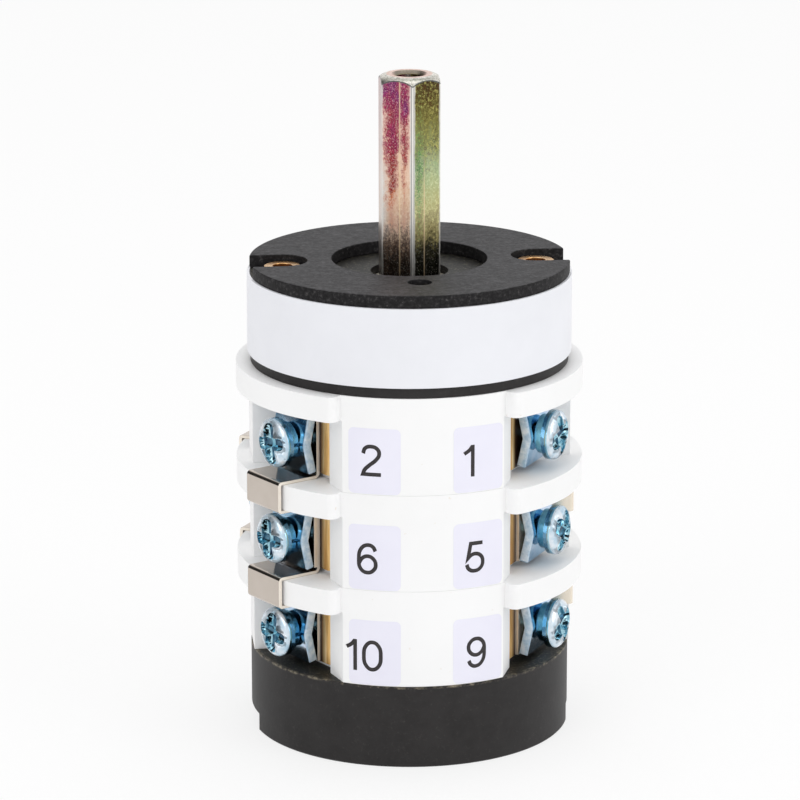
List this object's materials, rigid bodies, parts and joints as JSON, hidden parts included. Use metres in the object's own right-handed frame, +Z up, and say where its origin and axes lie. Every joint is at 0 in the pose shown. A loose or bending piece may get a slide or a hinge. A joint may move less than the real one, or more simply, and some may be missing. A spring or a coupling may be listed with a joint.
{
  "type": "rotary cam switch",
  "caption": "Round stacked rotary cam switch with side screw terminals, folded link straps and a tapped hexagonal drive shaft, as on a tire changer.",
  "frame": {"origin": "on the shaft's axis, at the lower face of the base", "axes": "+Z up the shaft, -Y towards the front blocks with the terminal numbers, +X to the right of the front"},
  "size_m": [0.0598, 0.0558, 0.1145],
  "materials": {
    "black_plastic": "moulded thermoset, black, lightly mottled",
    "white_resin": "moulded amino resin, warm white, satin",
    "cam_resin": "moulded resin, natural",
    "label_film": "plain white label film",
    "steel": "zinc-plated steel",
    "spring_steel": "drawn spring wire",
    "blue_zinc": "blue-white zinc plating",
    "yellow_zinc": "yellow passivated zinc",
    "iridescent_zinc": "iridescent yellow passivated zinc",
    "brass": "rolled brass",
    "nickel_strip": "nickel-plated copper strip"
  },
  "bodies": {
    "housing": {"base": "black_plastic", "stage_housing_1": "white_resin", "stage_housing_2": "white_resin", "stage_housing_3": "white_resin", "detent_housing": "black_plastic", "label_band": "label_film", "top_plate": "black_plastic", "tie_bolts": "steel", "tie_sleeves": "yellow_zinc", "detent_spring_front": "spring_steel", "detent_spring_back": "spring_steel", "clamp_plates": "blue_zinc", "lock_washers": "blue_zinc", "terminal_screws": "blue_zinc", "bridge_spring_1_front": "spring_steel", "bridge_spring_1_back": "spring_steel", "bridge_spring_2_front": "spring_steel", "bridge_spring_2_back": "spring_steel", "bridge_spring_3_front": "spring_steel", "bridge_spring_3_back": "spring_steel", "terminal_strip_1": "brass", "terminal_strip_2": "brass", "terminal_strip_3": "brass", "terminal_strip_4": "brass", "terminal_strip_5": "brass", "terminal_strip_6": "brass", "terminal_strip_7": "brass", "terminal_strip_8": "brass", "terminal_strip_9": "brass", "terminal_strip_10": "brass", "terminal_strip_11": "brass", "terminal_strip_12": "brass", "jumper_2_6": "nickel_strip", "jumper_6_10": "nickel_strip", "jumper_4_8": "nickel_strip", "jumper_8_12": "nickel_strip", "cross_strap_5_7": "nickel_strip", "cross_strap_9_11": "nickel_strip"},
    "rotor": {"shaft": "iridescent_zinc", "retaining_ring": "steel", "cam_1": "cam_resin", "cam_2": "cam_resin", "cam_3": "cam_resin", "detent_star": "cam_resin"},
    "detent_front": {"detent_plunger_front": "white_resin", "detent_pin_front": "steel"},
    "detent_back": {"detent_plunger_back": "white_resin", "detent_pin_back": "steel"},
    "contact_1_front": {"contact_carrier_1_front": "cam_resin", "contact_bridge_1_front": "brass"},
    "contact_1_back": {"contact_carrier_1_back": "cam_resin", "contact_bridge_1_back": "brass"},
    "contact_2_front": {"contact_carrier_2_front": "cam_resin", "contact_bridge_2_front": "brass"},
    "contact_2_back": {"contact_carrier_2_back": "cam_resin", "contact_bridge_2_back": "brass"},
    "contact_3_front": {"contact_carrier_3_front": "cam_resin", "contact_bridge_3_front": "brass"},
    "contact_3_back": {"contact_carrier_3_back": "cam_resin", "contact_bridge_3_back": "brass"}
  },
  "joints": [
    {"name": "rotor_turn", "type": "hinge", "parent": "housing", "child": "rotor", "pos_m": [0, 0, 0.05], "axis": [0, 0, 1], "range_deg": [-60, 60]},
    {"name": "detent_front_slide", "type": "slide", "parent": "housing", "child": "detent_front", "axis": [0, 1, 0], "range_m": [0, 0.0021], "deforming": ["detent_spring_front"]},
    {"name": "detent_back_slide", "type": "slide", "parent": "housing", "child": "detent_back", "axis": [0, -1, 0], "range_m": [0, 0.0021], "deforming": ["detent_spring_back"]},
    {"name": "contact_1_front_slide", "type": "slide", "parent": "housing", "child": "contact_1_front", "axis": [0, 1, 0], "range_m": [-0.0015, 0.0015], "deforming": ["bridge_spring_1_front"]},
    {"name": "contact_1_back_slide", "type": "slide", "parent": "housing", "child": "contact_1_back", "axis": [0, 1, 0], "range_m": [-0.0015, 0.0015], "deforming": ["bridge_spring_1_back"]},
    {"name": "contact_2_front_slide", "type": "slide", "parent": "housing", "child": "contact_2_front", "axis": [0, 1, 0], "range_m": [-0.0015, 0.0015], "deforming": ["bridge_spring_2_front"]},
    {"name": "contact_2_back_slide", "type": "slide", "parent": "housing", "child": "contact_2_back", "axis": [0, 1, 0], "range_m": [-0.0015, 0.0015], "deforming": ["bridge_spring_2_back"]},
    {"name": "contact_3_front_slide", "type": "slide", "parent": "housing", "child": "contact_3_front", "axis": [0, 1, 0], "range_m": [-0.0015, 0.0015], "deforming": ["bridge_spring_3_front"]},
    {"name": "contact_3_back_slide", "type": "slide", "parent": "housing", "child": "contact_3_back", "axis": [0, 1, 0], "range_m": [-0.0015, 0.0015], "deforming": ["bridge_spring_3_back"]}
  ],
  "couplings": [
    {"joint": "contact_1_front_slide", "follows": "rotor_turn", "m_per_rad": 0.0014323},
    {"joint": "contact_1_back_slide", "follows": "rotor_turn", "m_per_rad": 0.0014323},
    {"joint": "contact_2_front_slide", "follows": "rotor_turn", "m_per_rad": 0.0014323},
    {"joint": "contact_2_back_slide", "follows": "rotor_turn", "m_per_rad": 0.0014323},
    {"joint": "contact_3_front_slide", "follows": "rotor_turn", "m_per_rad": -0.0014323},
    {"joint": "contact_3_back_slide", "follows": "rotor_turn", "m_per_rad": -0.0014323}
  ]
}
